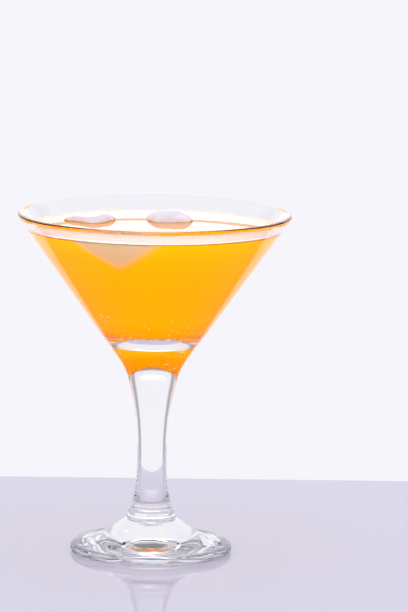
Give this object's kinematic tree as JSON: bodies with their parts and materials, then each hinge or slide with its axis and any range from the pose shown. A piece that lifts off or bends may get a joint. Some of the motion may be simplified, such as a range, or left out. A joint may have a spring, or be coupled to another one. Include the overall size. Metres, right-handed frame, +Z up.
{
  "type": "glass of orange juice",
  "caption": "Footed cone glass with a solid stem and a double bead above the foot, filled almost to the rim with orange juice, with melting ice cubes floating in it.",
  "frame": {"origin": "centre of the foot's resting ring, on the surface that the glass stands on", "axes": "+Z up along the glass's axis; +Y away from the viewer of the front, towards the ice; +X to the viewer's right"},
  "size_m": [0.1086, 0.1086, 0.1365],
  "materials": {
    "clear_glass": "clear, fire-polished",
    "orange_juice": "cloudy liquid, wet gloss",
    "ice": "cloudy, wet"
  },
  "bodies": {
    "root": {"glass": "clear_glass", "juice": "orange_juice", "ice_left": "ice", "ice_right": "ice"}
  },
  "joints": []
}
